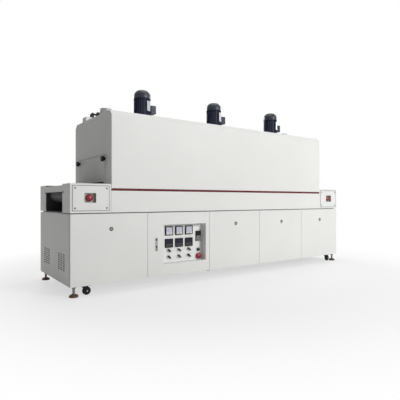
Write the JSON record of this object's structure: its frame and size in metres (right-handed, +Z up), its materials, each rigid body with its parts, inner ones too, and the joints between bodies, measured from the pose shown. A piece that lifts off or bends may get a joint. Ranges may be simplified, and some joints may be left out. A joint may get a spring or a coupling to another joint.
{
  "type": "tunnel reflow oven",
  "caption": "Floor-standing tunnel reflow oven: mesh belt through a hinged hot-air hood with roof blower motors, on a panelled base with a recessed control panel.",
  "frame": {"origin": "on the floor, under the middle of the whole machine, conduits included", "axes": "+X along the belt from inlet to outlet, -Y towards the operator, +Z up"},
  "size_m": [3, 0.9, 1.622],
  "materials": {
    "cladding": "smooth off-white powder coat",
    "frame_paint": "grey powder coat",
    "inner_steel": "bare heat-stained steel",
    "belt_mesh": "woven stainless mesh",
    "seal_rubber": "dark red silicone",
    "hinge_steel": "satin steel",
    "motor_paint": "satin dark blue-grey paint",
    "galvanised": "galvanised sheet",
    "conduit_sheath": "black sheath",
    "black_plastic": "matt black moulding",
    "stop_red": "glossy red",
    "instrument_case": "black moulded case",
    "lamp_lenses": "coloured lenses with black ends",
    "foot_steel": "brown primer",
    "switchgear_case": "grey moulded cases",
    "drum_steel": "turned steel",
    "heater_tube": "oxidised heater sheath",
    "wheel_polymer": "black castor wheel"
  },
  "bodies": {
    "base": {"base_frame": "frame_paint", "base_panels": "cladding", "levelling_feet": "foot_steel", "bed_skirts": "cladding", "bed_trough": "inner_steel", "belt_supports": "inner_steel", "end_blocks": "cladding", "end_covers": "cladding", "mesh_belt": "belt_mesh", "drum_bearings": "frame_paint", "drive_gearmotor": "motor_paint", "lower_heaters": "heater_tube", "hood_seal": "seal_rubber", "hinge_base_leaves": "hinge_steel", "switchgear": "switchgear_case", "flexible_conduits": "conduit_sheath"},
    "hood": {"hood_shell": "cladding", "hood_end_plates": "cladding", "nozzle_liner": "inner_steel", "upper_heaters": "heater_tube", "hinge_hood_leaves": "hinge_steel", "cable_trunking": "cladding", "exhaust_spigots": "galvanised", "blower_motor_1": "motor_paint", "blower_motor_2": "motor_paint", "blower_motor_3": "motor_paint"},
    "door": {"control_door": "cladding", "instrument_plate": "cladding", "panel_instruments": "instrument_case"},
    "door_latch": {"door_latch": "hinge_steel"},
    "rotary_switch_1": {"rotary_switch_1": "black_plastic"},
    "rotary_switch_2": {"rotary_switch_2": "black_plastic"},
    "rotary_switch_3": {"rotary_switch_3": "black_plastic"},
    "rotary_switch_4": {"rotary_switch_4": "black_plastic"},
    "rotary_switch_5": {"rotary_switch_5": "black_plastic"},
    "rotary_switch_6": {"rotary_switch_6": "black_plastic"},
    "speed_dial": {"speed_dial": "black_plastic"},
    "main_stop_button": {"main_stop_button": "stop_red"},
    "stop_button_inlet": {"stop_button_inlet": "stop_red"},
    "stop_button_outlet": {"stop_button_outlet": "stop_red"},
    "inlet_drum": {"inlet_drum": "drum_steel"},
    "outlet_drum": {"outlet_drum": "drum_steel"},
    "blower_wheel_1": {"blower_wheel_1": "galvanised"},
    "blower_wheel_2": {"blower_wheel_2": "galvanised"},
    "blower_wheel_3": {"blower_wheel_3": "galvanised"},
    "inlet_gate": {"inlet_gate": "galvanised"},
    "outlet_gate": {"outlet_gate": "galvanised"},
    "gate_knob_inlet_front": {"gate_knob_inlet_front": "black_plastic"},
    "gate_knob_inlet_back": {"gate_knob_inlet_back": "black_plastic"},
    "gate_knob_outlet_front": {"gate_knob_outlet_front": "black_plastic"},
    "gate_knob_outlet_back": {"gate_knob_outlet_back": "black_plastic"},
    "signal_lamp": {"signal_lamp": "lamp_lenses"},
    "castor_fork_inlet_front": {"castor_fork_inlet_front": "black_plastic"},
    "castor_wheel_inlet_front": {"castor_wheel_inlet_front": "wheel_polymer"},
    "castor_fork_inlet_back": {"castor_fork_inlet_back": "black_plastic"},
    "castor_wheel_inlet_back": {"castor_wheel_inlet_back": "wheel_polymer"},
    "castor_fork_outlet_front": {"castor_fork_outlet_front": "black_plastic"},
    "castor_wheel_outlet_front": {"castor_wheel_outlet_front": "wheel_polymer"},
    "castor_fork_outlet_back": {"castor_fork_outlet_back": "black_plastic"},
    "castor_wheel_outlet_back": {"castor_wheel_outlet_back": "wheel_polymer"}
  },
  "joints": [
    {"name": "hood_hinge", "type": "hinge", "parent": "base", "child": "hood", "pos_m": [0, 0.38, 0.756], "axis": [-1, 0, 0], "range_deg": [0, 55], "deforming": ["flexible_conduits"]},
    {"name": "door_hinge", "type": "hinge", "parent": "base", "child": "door", "pos_m": [-0.3055, -0.443, 0.33], "axis": [0, 0, 1], "range_deg": [0, 110]},
    {"name": "latch_pivot", "type": "hinge", "parent": "door", "child": "door_latch", "pos_m": [-0.8225, -0.444, 0.378], "axis": [-1, 0, 0], "range_deg": [0, 60], "stiffness_Nm_per_rad": 0.05},
    {"name": "switch_turn_1", "type": "hinge", "parent": "door", "child": "rotary_switch_1", "pos_m": [-0.674, -0.387, 0.266], "axis": [0, 1, 0], "range_deg": [0, 90]},
    {"name": "switch_turn_2", "type": "hinge", "parent": "door", "child": "rotary_switch_2", "pos_m": [-0.576, -0.387, 0.266], "axis": [0, 1, 0], "range_deg": [0, 90]},
    {"name": "switch_turn_3", "type": "hinge", "parent": "door", "child": "rotary_switch_3", "pos_m": [-0.478, -0.387, 0.266], "axis": [0, 1, 0], "range_deg": [0, 90]},
    {"name": "switch_turn_4", "type": "hinge", "parent": "door", "child": "rotary_switch_4", "pos_m": [-0.674, -0.387, 0.213], "axis": [0, 1, 0], "range_deg": [0, 90]},
    {"name": "switch_turn_5", "type": "hinge", "parent": "door", "child": "rotary_switch_5", "pos_m": [-0.576, -0.387, 0.213], "axis": [0, 1, 0], "range_deg": [0, 90]},
    {"name": "switch_turn_6", "type": "hinge", "parent": "door", "child": "rotary_switch_6", "pos_m": [-0.478, -0.387, 0.213], "axis": [0, 1, 0], "range_deg": [0, 90]},
    {"name": "speed_dial_turn", "type": "hinge", "parent": "door", "child": "speed_dial", "pos_m": [-0.38, -0.387, 0.255], "axis": [0, 1, 0], "range_deg": [0, 270]},
    {"name": "main_stop_press", "type": "slide", "parent": "door", "child": "main_stop_button", "axis": [0, 1, 0], "range_m": [0, 0.006], "stiffness_N_per_m": 800},
    {"name": "stop_press_inlet", "type": "slide", "parent": "base", "child": "stop_button_inlet", "axis": [0, 1, 0], "range_m": [0, 0.006], "stiffness_N_per_m": 800},
    {"name": "stop_press_outlet", "type": "slide", "parent": "base", "child": "stop_button_outlet", "axis": [0, 1, 0], "range_m": [0, 0.006], "stiffness_N_per_m": 800},
    {"name": "outlet_drum_turn", "type": "hinge", "parent": "base", "child": "outlet_drum", "pos_m": [1.418, -0.037, 0.7287], "axis": [0, 1, 0], "continuous": true},
    {"name": "inlet_drum_turn", "type": "hinge", "parent": "base", "child": "inlet_drum", "pos_m": [-1.41, -0.037, 0.7287], "axis": [0, 1, 0], "continuous": true},
    {"name": "blower_turn_1", "type": "hinge", "parent": "hood", "child": "blower_wheel_1", "pos_m": [-0.78, -0.117, 1.25], "axis": [0, 0, 1], "continuous": true},
    {"name": "blower_turn_2", "type": "hinge", "parent": "hood", "child": "blower_wheel_2", "pos_m": [0, -0.117, 1.25], "axis": [0, 0, 1], "continuous": true},
    {"name": "blower_turn_3", "type": "hinge", "parent": "hood", "child": "blower_wheel_3", "pos_m": [0.78, -0.117, 1.25], "axis": [0, 0, 1], "continuous": true},
    {"name": "inlet_gate_slide", "type": "slide", "parent": "hood", "child": "inlet_gate", "axis": [0, 0, 1], "range_m": [0, 0.14]},
    {"name": "outlet_gate_slide", "type": "slide", "parent": "hood", "child": "outlet_gate", "axis": [0, 0, 1], "range_m": [0, 0.14]},
    {"name": "gate_knob_turn_inlet_front", "type": "hinge", "parent": "hood", "child": "gate_knob_inlet_front", "pos_m": [-1.21, -0.322, 0.995], "axis": [-1, 0, 0], "range_deg": [0, 360]},
    {"name": "gate_knob_turn_inlet_back", "type": "hinge", "parent": "hood", "child": "gate_knob_inlet_back", "pos_m": [-1.21, 0.248, 0.995], "axis": [-1, 0, 0], "range_deg": [0, 360]},
    {"name": "gate_knob_turn_outlet_front", "type": "hinge", "parent": "hood", "child": "gate_knob_outlet_front", "pos_m": [1.21, -0.322, 0.995], "axis": [1, 0, 0], "range_deg": [0, 360]},
    {"name": "gate_knob_turn_outlet_back", "type": "hinge", "parent": "hood", "child": "gate_knob_outlet_back", "pos_m": [1.21, 0.248, 0.995], "axis": [1, 0, 0], "range_deg": [0, 360]},
    {"name": "lamp_fold", "type": "hinge", "parent": "hood", "child": "signal_lamp", "pos_m": [-1.075, 0.291, 1.458], "axis": [0, -1, 0], "range_deg": [0, 90]},
    {"name": "castor_swivel_inlet_front", "type": "hinge", "parent": "base", "child": "castor_fork_inlet_front", "pos_m": [-1.382, -0.392, 0.06], "axis": [0, 0, 1], "continuous": true},
    {"name": "castor_roll_inlet_front", "type": "hinge", "parent": "castor_fork_inlet_front", "child": "castor_wheel_inlet_front", "pos_m": [-1.366, -0.392, 0.03], "axis": [0, 1, 0], "continuous": true},
    {"name": "castor_swivel_inlet_back", "type": "hinge", "parent": "base", "child": "castor_fork_inlet_back", "pos_m": [-1.382, 0.318, 0.06], "axis": [0, 0, 1], "continuous": true},
    {"name": "castor_roll_inlet_back", "type": "hinge", "parent": "castor_fork_inlet_back", "child": "castor_wheel_inlet_back", "pos_m": [-1.366, 0.318, 0.03], "axis": [0, 1, 0], "continuous": true},
    {"name": "castor_swivel_outlet_front", "type": "hinge", "parent": "base", "child": "castor_fork_outlet_front", "pos_m": [1.382, -0.392, 0.06], "axis": [0, 0, 1], "continuous": true},
    {"name": "castor_roll_outlet_front", "type": "hinge", "parent": "castor_fork_outlet_front", "child": "castor_wheel_outlet_front", "pos_m": [1.398, -0.392, 0.03], "axis": [0, 1, 0], "continuous": true},
    {"name": "castor_swivel_outlet_back", "type": "hinge", "parent": "base", "child": "castor_fork_outlet_back", "pos_m": [1.382, 0.318, 0.06], "axis": [0, 0, 1], "continuous": true},
    {"name": "castor_roll_outlet_back", "type": "hinge", "parent": "castor_fork_outlet_back", "child": "castor_wheel_outlet_back", "pos_m": [1.398, 0.318, 0.03], "axis": [0, 1, 0], "continuous": true}
  ],
  "couplings": [
    {"joint": "inlet_drum_turn", "follows": "outlet_drum_turn", "ratio": 1}
  ]
}
